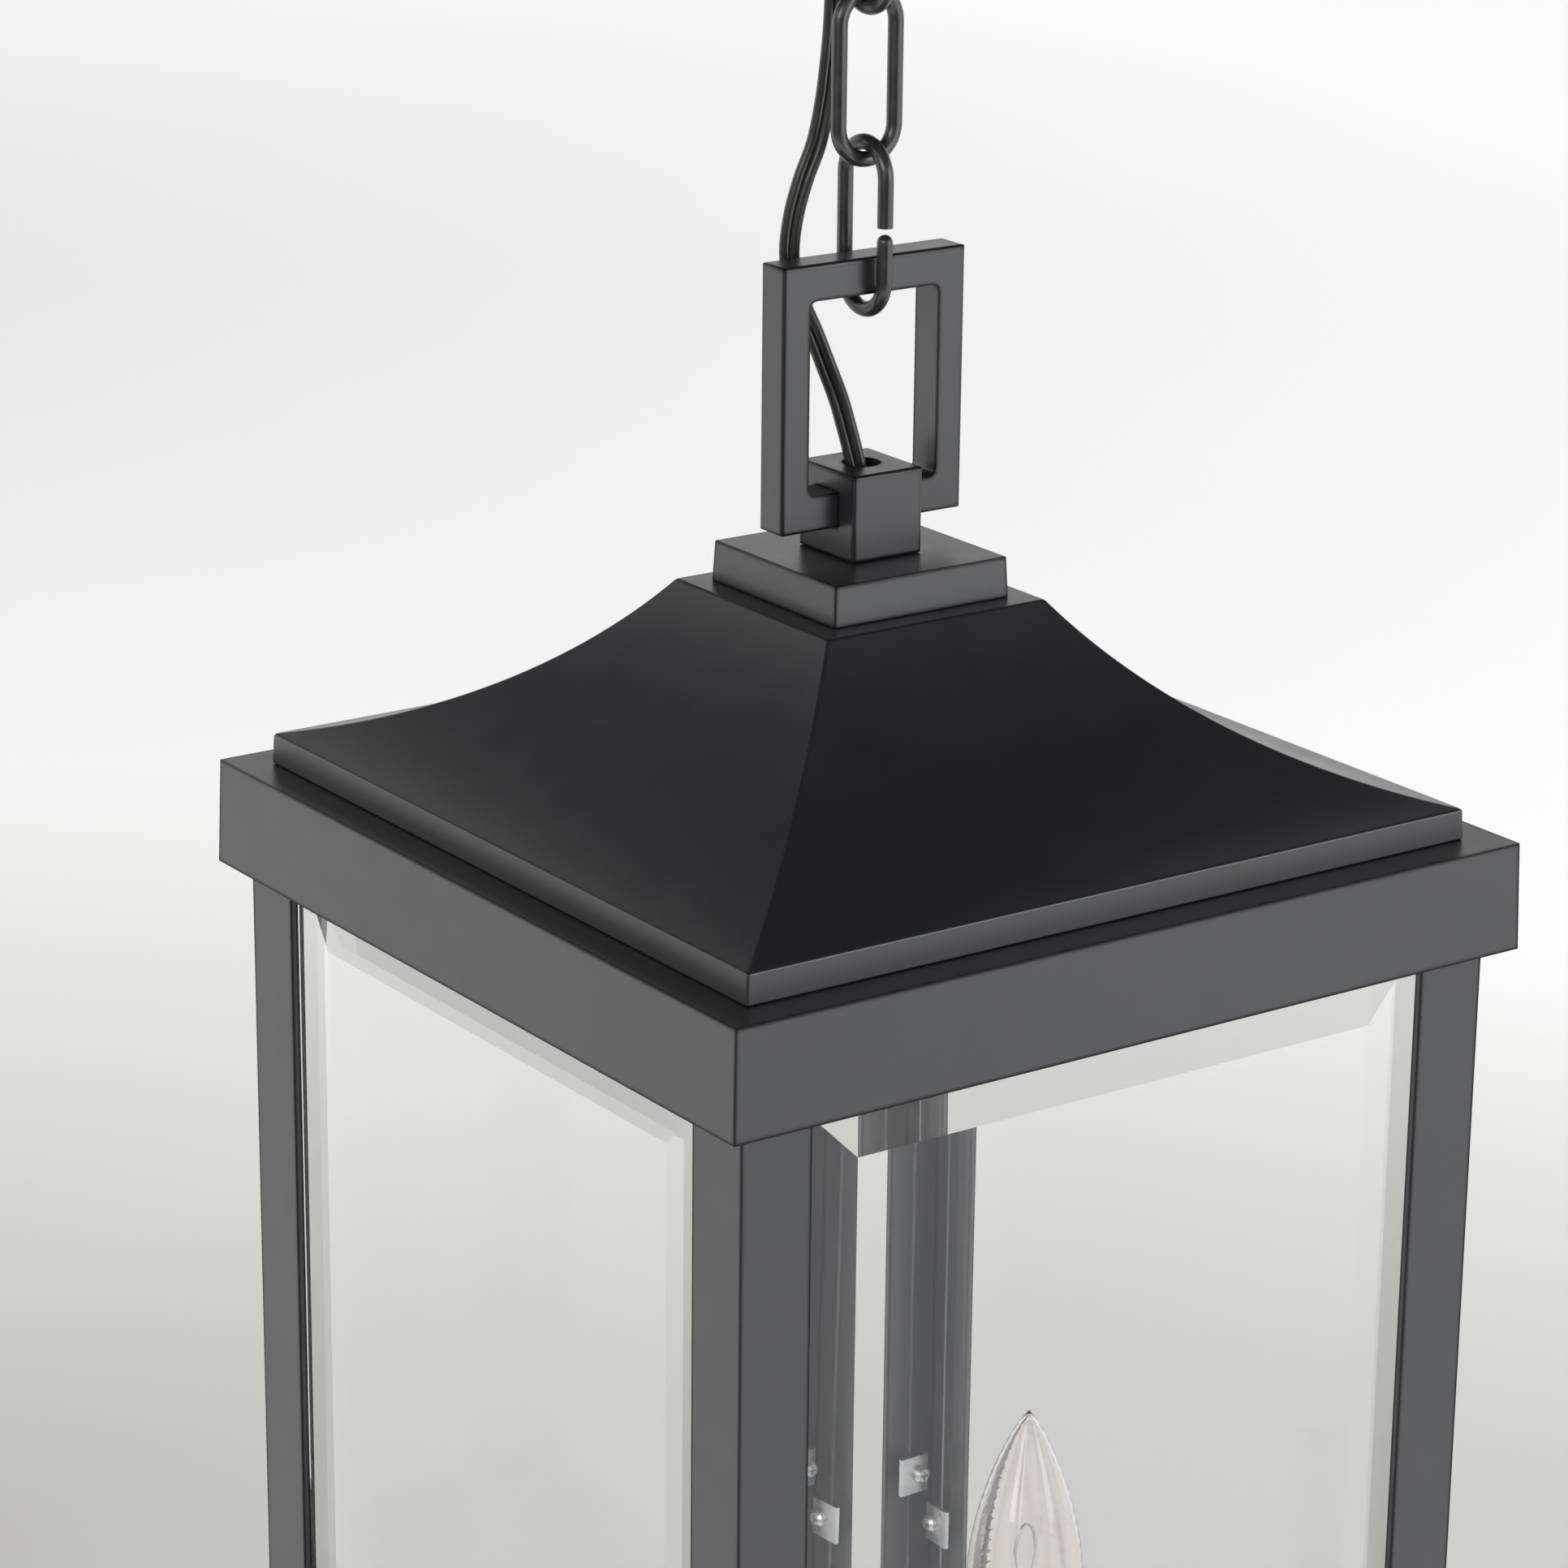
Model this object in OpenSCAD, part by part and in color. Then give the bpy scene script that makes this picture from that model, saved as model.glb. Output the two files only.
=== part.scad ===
// Square hanging lantern: a ceiling canopy, three chain links, a rectangular hanging loop and a
// four-post glazed cage with a concave pyramid roof and a three-candle cluster.
// Millimetres, +Z up. The origin is the centre of the canopy's ceiling face, and everything hangs
// below it. The loop lies in the XZ plane, and the lantern's front faces -Y.

/* [Ceiling canopy] */
// Canopy diameter at the ceiling
canopy_d = 127; // [110:1:160]
// Depth of the canopy below the ceiling
canopy_depth = 26; // [22:0.5:36]
// Canopy sheet thickness
canopy_wall = 1.2; // [0.8:0.1:2]
// Distance between the outlet-box screw slots
box_screw_spacing = 88.9; // [82:0.1:95]
// Length of each outlet-box screw slot
box_slot_length = 10; // [6:0.5:14]
// Width of each outlet-box screw slot
box_slot_width = 4.6; // [4.4:0.1:5.5]

/* [Chain] */
// Rod diameter of the chain links
chain_rod_d = 4; // [3:0.1:5]
// Length of the opening inside a link
link_inner_length = 38; // [32:0.5:48]
// Width of the opening inside a link
link_inner_width = 13; // [12:0.5:18]
// Gap left where the lower link is opened
link_gap = 1.7; // [1:0.1:3]
// Rod diameter of the canopy's loop
canopy_loop_rod_d = 6; // [5:0.1:7]
// Diameter of the canopy loop's opening
canopy_loop_inner_d = 24; // [22:0.5:32]

/* [Hanging loop] */
// Outer width of the rectangular loop
loop_w = 55.7; // [45:0.1:70]
// Outer height of the rectangular loop
loop_h = 68.2; // [55:0.1:85]
// Width of the loop's upright bars
loop_side_bar = 8.1; // [6:0.1:10]
// Height of the loop's top and bottom bars
loop_cross_bar = 9.3; // [8:0.1:11]
// Thickness of the loop, front to back
loop_depth = 9.9; // [8:0.1:10.5]
// Width of the hanger block
block_w = 21.4; // [19:0.1:28]
// Depth of the hanger block, front to back
block_d = 23.7; // [20:0.1:30]
// Height of the hanger block
block_h = 22.5; // [21:0.1:28]
// Diameter of the cord's hole in the top of the hanger block
block_hole_d = 10; // [8:0.1:11]

/* [Roof] */
// Width of the cap block at its foot
cap_w = 54; // [46:0.5:62]
// Height of the cap block
cap_h = 10.6; // [8:0.1:14]
// Width of the flat at the top of the roof
roof_top_w = 67.3; // [64:0.1:80]
// How far the collar's top reaches out beyond the roof
roof_margin = 10.3; // [7:0.1:16]
// Height of the band under the eaves
band_h = 8.1; // [6:0.1:12]
// Rise of the concave slope above the band
roof_rise = 48.6; // [40:0.1:60]
// Radius of the concave slope
roof_slope_r = 131; // [110:1:200]
// Roof wall thickness
roof_wall = 2; // [1.5:0.1:3]

/* [Cage] */
// Width of the collar at its lower edge
collar_w = 241.3; // [230:0.1:290]
// Height of the collar
collar_h = 28.2; // [24:0.1:36]
// Wall thickness of the collar and base castings
casting_wall = 3; // [2.5:0.1:4]
// How far the collar and base stand out from the posts
collar_overhang = 6.5; // [5:0.1:9]
// Width of each post flange
post_flange = 20; // [18:0.1:26]
// Thickness of each post flange
post_wall = 2.2; // [1.6:0.1:3]
// Clear height between the collar and the base
cage_clear_h = 318; // [240:1:420]
// Height of the base casting
base_h = 26; // [24:0.1:34]
// Height of the stepped foot under the base
foot_h = 8; // [5:0.1:12]
// Diameter of the small machine screws
screw_d = 3.5; // [3:0.1:4]

/* [Glass] */
// Thickness of each glass pane
glass_t = 4.8; // [3:0.1:5]
// Width of the bevel around each pane
bevel_w = 21; // [12:0.5:30]
// Thickness left at the bevelled edge
bevel_edge_t = 1.8; // [1.2:0.1:2.5]

/* [Candles] */
// Number of candles
candle_count = 3; // [2:1:4]
// Distance from the lantern's axis to each candle
candle_radius = 48; // [42:1:56]
// Height of a candle sleeve
sleeve_h = 80; // [60:1:100]
// Outer diameter of a candle sleeve
sleeve_d = 21.6; // [20.4:0.1:24]
// Greatest diameter of a bulb
bulb_d = 32; // [28:1:35]
// Height of a bulb's glass above its sleeve
bulb_h = 82; // [60:1:90]

/* [Cord] */
// Width of the two-conductor cord
cord_d = 5.2; // [4:0.1:5.4]

/* [Hidden] */
$fn = 64;
finish = "#2e2f32";
chain_finish = "#26272a";
brass = "#b08d45";
zinc = "#a9acb0";
candle_white = "#ece6d6";
glass_tint = [0.86, 0.93, 0.91, 0.35];
cord_black = "#161719";
rubber_black = "#1c1c1c";

slip = 0.1;                  // clearance of pieces that slide together
link_slack = 0.3;            // play between one link and the next
pipe_d = 9.7;                // 1/8 IP threaded pipe
pipe_bore = 6.8;
edge_r = 1;                  // rounding of the loop's and block's edges
window_r = 2;                // rounding of the corners inside the loop
corner_draft = 0.75;         // how much wider each side of the collar is at its lower edge
band_draft = 0.35;
cap_draft = 0.5;

// ---- Heights, from the ceiling down -------------------------------------------------------------
canopy_nut_h = 8;
canopy_pipe_foot = -canopy_depth - canopy_nut_h;
crossbar_drop = 10;                                    // how far the strap's middle is set down
canopy_pipe_top = -crossbar_drop + 2;
canopy_ring_stem = 4;
ring_mean_r = (canopy_loop_inner_d + canopy_loop_rod_d) / 2;
ring_z = -canopy_depth - canopy_nut_h - canopy_ring_stem - canopy_loop_inner_d / 2 - 2;
ring_rod_z = ring_z - ring_mean_r;                     // centre of the canopy loop's lowest rod

link_mean_r = (link_inner_width + chain_rod_d) / 2;
link_pitch = link_inner_length + chain_rod_d;          // between a link's end rod centres
rod_step = chain_rod_d + link_slack;                   // between rods that hang on each other
upper_top_z = ring_rod_z + (canopy_loop_rod_d + chain_rod_d) / 2 + link_slack;
upper_rod_z = upper_top_z - link_pitch;
middle_top_z = upper_rod_z + rod_step;
middle_rod_z = middle_top_z - link_pitch;
lower_top_z = middle_rod_z + rod_step;
lower_rod_z = lower_top_z - link_pitch;

// The loop's top bar rests in the lower link's bend on its two lower edges
bend_reach = link_inner_width / 2 - link_slack;
bar_drop = sqrt(pow(bend_reach, 2) - pow(loop_depth / 2, 2));
loop_top_z = lower_rod_z + link_mean_r - bar_drop + loop_cross_bar;

block_floor = 7.9;                                     // block thickness under the loop's bar
loop_z = loop_top_z - loop_h;                          // underside of the loop
block_z = loop_z - block_floor;                        // top of the cap block
cap_z = block_z - cap_h;                               // top of the roof
eaves_z = cap_z - roof_rise;
collar_z = eaves_z - band_h;                           // top of the collar
cage_top_z = collar_z - collar_h;
base_z = cage_top_z - cage_clear_h;                    // top of the base
base_floor_z = base_z - base_h;                        // underside of the base
foot_z = base_floor_z - foot_h;

// ---- Cage sizes ---------------------------------------------------------------------------------
collar_half = collar_w / 2;
collar_top_half = collar_half - corner_draft;
post_half = collar_half - collar_overhang;
post_inner = post_half - post_wall;
casting_inner = collar_top_half - casting_wall;
post_fit = 0.08;
lip_h = 3;
ledge_half = post_half - post_flange + 1;              // half width of the collar's opening
post_top_z = collar_z - casting_wall;
floor_top_z = base_floor_z + casting_wall;
post_length = post_top_z - floor_top_z;
floor_half = ledge_half + 0.85;                        // half width of the base's opening

glass_gap = 0.3;
glass_outer = post_inner - glass_gap;                  // distance of a pane's outer face from the axis
glass_inner = glass_outer - glass_t;
glass_cover = 6;                                       // how far a flange covers a pane
glass_half = post_half - post_flange + glass_cover;
pad_h = 7;
glass_foot_z = floor_top_z + pad_h;
glass_top_z = cage_top_z + 6;
glass_h = glass_top_z - glass_foot_z;

screw_head_d = 5.4;
screw_head_h = 2;
fixing_x = glass_half + screw_head_d / 2 + 0.2;        // screws stand just beside the panes
post_screw_top = collar_z - 12;
post_screw_foot = base_z - 12;
clip_inset = 24;                                       // height of the lower clips above the base
clip_share = 0.27;                                     // and of the upper ones, as a share of the cage
clip_stagger = 16;                                     // keeps neighbouring sides' clips apart
clip_t = 1.2;
clip_h = 12;
boss_d = 8;
boss_thread = 3.2;                                     // screw's grip in a casting's boss
clip_thread = 1.6;                                     // screw's grip in a post's flange

roof_half = collar_top_half - roof_margin;
roof_top_half = roof_top_w / 2;
roof_screw_at = roof_half - 9;
roof_boss_d = 9;

// The slope's arc runs from the eaves to the roof's flat and bulges inward
slope_chord = [roof_top_half - roof_half, roof_rise];
slope_mid = [(roof_top_half + roof_half) / 2, roof_rise / 2];
slope_reach = sqrt(pow(roof_slope_r, 2) - pow(norm(slope_chord) / 2, 2));
slope_centre = slope_mid + slope_reach * [slope_chord[1], -slope_chord[0]] / norm(slope_chord);

// ---- Cluster sizes ------------------------------------------------------------------------------
bar_w = 20;
bar_t = 3;
bar_half = floor_half + 9;
bar_top_z = floor_top_z + bar_t;
bar_screw_x = floor_half + 5.5;
body_d = 52;
body_h = 18;
body_wall = 1.5;
arm_d = 10;
arm_bore = 7;
arm_bend_r = 12;
arm_z = bar_top_z + body_h / 2;                        // height of the arms' level stretch
arm_top_z = arm_z + arm_bend_r + 8;
cup_h = 10;
cup_d = 36;
cup_floor = 1.5;
cup_floor_z = arm_top_z + cup_floor;                   // inside face of a candle cup
sleeve_top_z = cup_floor_z + sleeve_h;
sleeve_wall = 0.9;
holder_d = 17;
holder_h = 30;
holder_bore_d = 12.4;
holder_bore_h = 17;
shell_d = 11.9;
shell_h = 16;
bulb_wall = 0.8;
lead_d = 3;

// ---- Cord ---------------------------------------------------------------------------------------
// The heights that the cord's points were laid out for, each with that place's present height
cord_heights = [
    [-677.633, floor_top_z], [-654.633, base_z], [-336.633, cage_top_z], [-308.433, collar_z],
    [-251.733, cap_z], [-218.633, block_z + block_h], [-165.033, loop_top_z], [-67, ring_rod_z],
    [-10, canopy_pipe_top - 2]
];
laid_corner = 111.95;                                  // distance of a post's inside, likewise
function laid(points, spread) =
    [for (p = points) [p[0] * spread, p[1] * spread, lookup(p[2], cord_heights)]];

// Up the chain: from the hanger block's hole, behind the loop's top bar, to the canopy's pipe
chain_points = [
    [-0.8, 0.5, -223], [-0.8, 0.5, -221], [-1.5, 1.2, -217], [-2.4, 2.7, -211], [-3.5, 5.3, -203],
    [-5.3, 8.2, -195], [-8.4, 9.8, -186], [-12.6, 10.2, -177], [-15.6, 10.2, -167],
    [-15.1, 9.8, -157], [-12.5, 9.2, -147],
    [-9, 8.6, -138], [-7, 8, -128], [-6, 7.4, -118], [-5.5, 6.8, -108], [-5.5, 6.4, -98],
    [-5.6, 6.2, -88], [-5.8, 6.2, -78], [-5.8, 6.3, -70], [-5.4, 6.1, -62], [-4, 4.5, -54],
    [-2, 2.3, -47], [-0.5, 0.6, -40], [0, 0, -33], [0, 0, -20], [0, 0, -10]
];
// Where the cord passes from one moving body's share to the next
chain_shares = [0, 9, 13, 17, 25];
// Inside the cage: down from the block, under the roof, down a corner post, along the base and the
// bar into the cluster's body; laid out towards the rear right corner, and turned to the front left
cage_points = [
    [0.8, -0.5, -223], [0.8, -0.5, -226], [0, 0, -240], [0, 0, -252], [0, 0, -264],
    [1, 1, -274], [5, 5, -286],
    [13, 13, -296], [24, 24, -303], [37, 37, -307], [50, 50, -309], [63, 63, -311],
    [76, 76, -314], [87, 87, -319], [97, 97, -328], [104, 104, -339], [108, 108, -352],
    [109, 109, -366], [109, 109, -381], [109, 109, -396], [109, 109, -411], [109, 109, -426],
    [109, 109, -441], [109, 109, -456], [109, 109, -471], [109, 109, -486], [109, 109, -501],
    [109, 109, -516], [109, 109, -531], [109, 109, -546], [109, 109, -561], [109, 109, -576],
    [109, 109, -591], [109, 109, -606], [109, 109, -621], [108.5, 108.5, -634], [107, 107, -646],
    [104, 103, -658], [103, 95, -667], [103, 83, -673], [103, 70, -675], [103, 56, -675],
    [102, 42, -675], [99, 29, -673], [92, 17, -671.5], [81, 8, -671.2], [68, 3, -671.2],
    [54, 0, -671.4], [41, 0, -671.7], [28, 0, -672], [20, 0, -672]
];
chain_route = laid(chain_points, 1);
cage_route = laid(cage_points, -post_inner / laid_corner);
cord_side = [1, -1, 0] / sqrt(2);                      // never parallel to the cord

// ---- Shared shapes ------------------------------------------------------------------------------
module tube(outer_d, inner_d, h) {
    difference() {
        cylinder(d = outer_d, h = h);
        translate([0, 0, -1])
            cylinder(d = inner_d, h = h + 2);
    }
}

module rounded_rect(w, h, r) {
    square([w - 2 * r, h], center = true);
    square([w, h - 2 * r], center = true);
    for (x = [-1, 1], y = [-1, 1])
        translate([x * (w / 2 - r), y * (h / 2 - r)])
            circle(r = r);
}

// A block with its foot at Z = 0 and every edge rounded
module rounded_block(w, d, h, r) {
    intersection() {
        linear_extrude(h)
            rounded_rect(w, d, r);
        translate([0, d / 2, h / 2])
            rotate([90, 0, 0])
                linear_extrude(d)
                    rounded_rect(w, h, r);
        translate([-w / 2, 0, h / 2])
            rotate([90, 0, 90])
                linear_extrude(w)
                    rounded_rect(d, h, r);
    }
}

// A square block, its foot at Z = 0, that narrows from foot_half to top_half
module drafted_block(foot_half, top_half, h) {
    profile = [[-foot_half, 0], [foot_half, 0], [top_half, h], [-top_half, h]];
    reach = 2 * max(foot_half, top_half) + 2;
    intersection() {
        translate([0, reach / 2, 0])
            rotate([90, 0, 0])
                linear_extrude(reach)
                    polygon(profile);
        translate([-reach / 2, 0, 0])
            rotate([90, 0, 90])
                linear_extrude(reach)
                    polygon(profile);
    }
}

// A square block centred on the axis, from z0 up to z1
module square_block(half, z0, z1) {
    translate([-half, -half, z0])
        cube([2 * half, 2 * half, z1 - z0]);
}

module hex_nut(across, bore, h) {
    difference() {
        cylinder(d = across / cos(30), h = h, $fn = 6);
        translate([0, 0, -1])
            cylinder(d = bore, h = h + 2);
    }
}

// A pan-head screw whose head lies on Z = 0 and whose shank points down
module pan_screw(length) {
    difference() {
        union() {
            translate([0, 0, -length])
                cylinder(d = screw_d, h = length);
            cylinder(d = screw_head_d, h = screw_head_h * 0.6);
            translate([0, 0, screw_head_h * 0.6])
                cylinder(d1 = screw_head_d, d2 = screw_head_d * 0.7, h = screw_head_h * 0.4);
        }
        for (turn = [0, 90])
            rotate([0, 0, turn])
                translate([-1.5, -0.35, screw_head_h - 1])
                    cube([3, 0.7, 2]);
    }
}

// Heights of the clips on a side
function clip_heights(turn) =
    let (shift = turn % 180 == 0 ? 0 : clip_stagger)
    [base_z + clip_share * cage_clear_h - shift, base_z + clip_inset + shift];

// Repeats a child on each side of the cage
module on_each_side() {
    for (turn = [0, 90, 180, 270])
        rotate([0, 0, turn])
            children();
}

// Places a child in the front side at this distance from the axis, with its +Z pointing inward
module on_front_wall(x, distance, z) {
    translate([x, -distance, z])
        rotate([-90, 0, 0])
            children();
}

// Places a child at each end of each side, beside the pane, at the heights of the post's screws
module at_each_post_screw(distance, heights) {
    on_each_side()
        for (side = [-1, 1], z = heights)
            on_front_wall(side * fixing_x, distance, z)
                children();
}

// Places a child at each pane clip; the clips at a side's two ends are mirrored
module at_each_clip(distance) {
    for (turn = [0:90:270], side = [0, 1], z = clip_heights(turn))
        rotate([0, 0, turn])
            mirror([side, 0, 0])
                on_front_wall(fixing_x, distance, z)
                    children();
}

// ---- Swept cord ---------------------------------------------------------------------------------
function unit(v) = v / norm(v);

function heading(route, i) =
    unit(route[min(i + 1, len(route) - 1)] - route[max(i - 1, 0)]);

function cord_ring(route, i, sides) =
    let (
        along = heading(route, i),
        across = unit(cross(along, cord_side)),
        up = cross(across, along)
    )
    [for (k = [0:sides - 1])
        route[i] + cord_d / 2 * (cos(360 * k / sides) * across + sin(360 * k / sides) * up)];

// The stretch of a route from point `first` to point `last`, as a closed tube
module cord_tube(route, first, last, sides = 8) {
    rings = last - first + 1;
    points = [for (i = [first:last]) each cord_ring(route, i, sides)];
    walls = [for (i = [0:rings - 2], k = [0:sides - 1])
        let (a = i * sides, b = a + sides, n = (k + 1) % sides)
        [a + k, a + n, b + n, b + k]];
    foot = [[for (k = [sides - 1:-1:0]) k]];
    head = [[for (k = [0:sides - 1]) (rings - 1) * sides + k]];
    polyhedron(points, concat(walls, foot, head));
}

// ---- Ceiling canopy -----------------------------------------------------------------------------
// The canopy's outside, or with an inset its inside, from height `top` down
module canopy_solid(inset, top) {
    r = canopy_d / 2 - inset;
    depth = canopy_depth - inset;
    crown_r = 14;
    rim = 5;
    arc = [for (a = [0:6:90]) [crown_r + (r - crown_r) * cos(a), -rim - (depth - rim) * sin(a)]];
    rotate_extrude()
        polygon(concat([[0, top], [r, top]], arc, [[0, -depth]]));
}

module canopy() {
    color(finish)
        difference() {
            canopy_solid(0, 0);
            canopy_solid(canopy_wall, 1);
            translate([0, 0, -canopy_depth - 1])
                cylinder(d = pipe_d + 2 * slip, h = canopy_depth);
        }
}

crossbar_t = 2;
crossbar_w = 16;
crossbar_half = box_screw_spacing / 2 + box_slot_length / 2 + 3;
ground_screw_x = 32;

// The offset strap that screws to the outlet box; its middle stands clear of the ceiling
module canopy_crossbar() {
    top_edge = [
        [-crossbar_half, 0], [-24, 0], [-16, -crossbar_drop],
        [16, -crossbar_drop], [24, 0], [crossbar_half, 0]
    ];
    bottom_edge = [for (k = [len(top_edge) - 1:-1:0]) top_edge[k] - [0, crossbar_t]];
    color(zinc)
        difference() {
            translate([0, crossbar_w / 2, 0])
                rotate([90, 0, 0])
                    linear_extrude(crossbar_w)
                        polygon(concat(top_edge, bottom_edge));
            translate([0, 0, -crossbar_drop - crossbar_t - 1])
                cylinder(d = pipe_d + slip, h = crossbar_t + 2);
            for (side = [-1, 1])
                translate([side * box_screw_spacing / 2, 0, -crossbar_t - 1])
                    linear_extrude(crossbar_t + 2)
                        slot_shape(box_slot_length, box_slot_width);
            translate([ground_screw_x, 0, -crossbar_t - 1])
                cylinder(d = screw_d, h = crossbar_t + 2);
        }
}

module slot_shape(length, width) {
    square([length - width, width], center = true);
    for (side = [-1, 1])
        translate([side * (length - width) / 2, 0])
            circle(d = width);
}

module canopy_pipe() {
    color(zinc)
        translate([0, 0, canopy_pipe_foot])
            tube(pipe_d, pipe_bore, canopy_pipe_top - canopy_pipe_foot);
}

module canopy_locknut() {
    color(zinc)
        translate([0, 0, -crossbar_drop - crossbar_t - 3])
            hex_nut(14, pipe_d + slip, 3);
}

// The knurled nut that holds the canopy up
module canopy_ring_nut() {
    knurls = 24;
    ring_d = 24;
    color(finish)
        translate([0, 0, -canopy_depth - canopy_nut_h])
            difference() {
                cylinder(d = ring_d, h = canopy_nut_h);
                translate([0, 0, -1])
                    cylinder(d = pipe_d + slip, h = canopy_nut_h + 2);
                for (k = [0:knurls - 1])
                    rotate([0, 0, k * 360 / knurls])
                        translate([ring_d / 2 + 0.5, 0, 2])
                            cylinder(r = 0.9, h = canopy_nut_h - 4, $fn = 16);
            }
}

loop_stem_d = 14;

module canopy_loop() {
    stem_top = -canopy_depth - canopy_nut_h;
    color(chain_finish)
        difference() {
            union() {
                translate([0, 0, ring_z])
                    rotate([90, 0, 0])
                        rotate_extrude()
                            translate([ring_mean_r, 0])
                                circle(d = canopy_loop_rod_d);
                translate([0, 0, ring_z + ring_mean_r])
                    cylinder(d = loop_stem_d, h = stem_top - ring_z - ring_mean_r);
            }
            translate([0, 0, ring_z + ring_mean_r / 2])
                cylinder(d = pipe_bore + 1, h = ring_mean_r * 2);
        }
}

module ground_screw() {
    color("#3f8f58")
        translate([ground_screw_x, 0, -crossbar_t])
            rotate([180, 0, 0])
                pan_screw(crossbar_t);
}

// The cord's two conductors, parted at the top of the pipe, curl over the strap to the connectors
supply_lead_d = 2.5;
supply_curl_r = 6;
supply_turn_r = 4;
supply_y = supply_lead_d / 2 + 0.05 + 2 * supply_curl_r;
supply_foot_z = canopy_pipe_top - supply_turn_r;

module supply_leads() {
    color(cord_black)
        for (side = [0, 1])
            mirror([0, side, 0])
                translate([0, 0, canopy_pipe_top]) {
                    translate([0, supply_y - supply_curl_r, 0])
                        rotate([90, 0, 90])
                            rotate_extrude(angle = 180)
                                translate([supply_curl_r, 0])
                                    circle(d = supply_lead_d);
                    translate([supply_turn_r, supply_y, 0])
                        rotate([90, 0, 0])
                            rotate([0, 0, 180])
                                rotate_extrude(angle = 90)
                                    translate([supply_turn_r, 0])
                                        circle(d = supply_lead_d);
                }
}

module wire_connectors() {
    color("#c9722e")
        for (side = [-1, 1])
            translate([supply_turn_r, side * supply_y, supply_foot_z])
                rotate([0, 90, 0])
                    cylinder(d1 = 9, d2 = 6, h = 16);
}

// ---- Chain --------------------------------------------------------------------------------------
module half_ring(mean_r, rod_d) {
    rotate([90, 0, 0])
        rotate_extrude(angle = 180)
            translate([mean_r, 0])
                circle(d = rod_d);
}

// A link in the XZ plane whose lower rod centre is at Z = 0
module link_body() {
    straight = link_pitch - 2 * link_mean_r;
    translate([0, 0, link_mean_r + straight])
        half_ring(link_mean_r, chain_rod_d);
    translate([0, 0, link_mean_r])
        rotate([0, 180, 0])
            half_ring(link_mean_r, chain_rod_d);
    for (side = [-1, 1])
        translate([side * link_mean_r, 0, link_mean_r])
            cylinder(d = chain_rod_d, h = straight);
}

module chain_link_upper() {
    color(chain_finish)
        translate([0, 0, upper_rod_z])
            rotate([0, 0, 90])
                link_body();
}

module chain_link_middle() {
    color(chain_finish)
        translate([0, 0, middle_rod_z])
            link_body();
}

// The lower link is opened at the middle of its front leg to take the loop
module chain_link_lower() {
    middle = link_pitch / 2;
    color(chain_finish)
        translate([0, 0, lower_rod_z])
            rotate([0, 0, 90]) {
                difference() {
                    link_body();
                    translate([-link_mean_r, 0, middle - link_gap / 2 - chain_rod_d / 2])
                        cylinder(d = chain_rod_d + 2, h = link_gap + chain_rod_d / 2);
                }
                translate([-link_mean_r, 0, middle - link_gap / 2 - chain_rod_d / 2])
                    sphere(d = chain_rod_d);
            }
}

// ---- Hanging loop and hanger block --------------------------------------------------------------
module hanging_loop() {
    window_w = loop_w - 2 * loop_side_bar;
    window_h = loop_h - 2 * loop_cross_bar;
    color(finish)
        translate([0, 0, loop_z])
            difference() {
                rounded_block(loop_w, loop_depth, loop_h, edge_r);
                translate([0, loop_depth, loop_h / 2])
                    rotate([90, 0, 0])
                        linear_extrude(2 * loop_depth)
                            rounded_rect(window_w, window_h, window_r);
                translate([0, 0, -1])
                    cylinder(d = pipe_bore + 0.6, h = loop_cross_bar + 2);
            }
}

module hanger_block() {
    color(finish)
        translate([0, 0, block_z])
            difference() {
                rounded_block(block_w, block_d, block_h, edge_r);
                translate([-block_w, -loop_depth / 2 - slip / 2, block_floor - slip / 2])
                    cube([2 * block_w, loop_depth + slip, loop_cross_bar + slip]);
                translate([0, 0, -1])
                    cylinder(d = pipe_d, h = block_floor + 1);
                translate([0, 0, block_floor + loop_cross_bar / 2])
                    cylinder(d = block_hole_d, h = block_h);
            }
}

washer_t = 2;
hanger_nut_h = 5;
roof_underside_z = cap_z - roof_wall;
hanger_pipe_foot = roof_underside_z - washer_t - hanger_nut_h - 3;

module hanger_pipe() {
    color(zinc)
        translate([0, 0, hanger_pipe_foot])
            tube(pipe_d, pipe_bore, block_z + block_floor - slip - hanger_pipe_foot);
}

module hanger_washer() {
    color(zinc)
        translate([0, 0, roof_underside_z - washer_t])
            tube(40, pipe_d + slip, washer_t);
}

module hanger_locknut() {
    color(zinc)
        translate([0, 0, roof_underside_z - washer_t - hanger_nut_h])
            hex_nut(14, pipe_d + slip, hanger_nut_h);
}

// ---- Roof ---------------------------------------------------------------------------------------
module cap_block() {
    color(finish)
        translate([0, 0, cap_z])
            difference() {
                drafted_block(cap_w / 2, cap_w / 2 - cap_draft, cap_h);
                translate([0, 0, -1])
                    cylinder(d = pipe_d + slip, h = cap_h + 2);
            }
}

// One slope's hollow, cut by a cylinder along that side of the roof
module slope_cutters(wall) {
    on_each_side()
        translate([-2 * roof_half, -slope_centre[0], slope_centre[1]])
            rotate([0, 90, 0])
                cylinder(r = roof_slope_r + wall, h = 4 * roof_half, $fn = 180);
}

// The outline of the roof's outside, or with a wall its inside
module roof_solid(wall) {
    difference() {
        union() {
            drafted_block(roof_half + band_draft - wall, roof_half - wall, band_h);
            square_block(roof_half - wall, band_h, band_h + roof_rise - wall);
        }
        translate([0, 0, band_h])
            slope_cutters(wall);
    }
}

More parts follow.
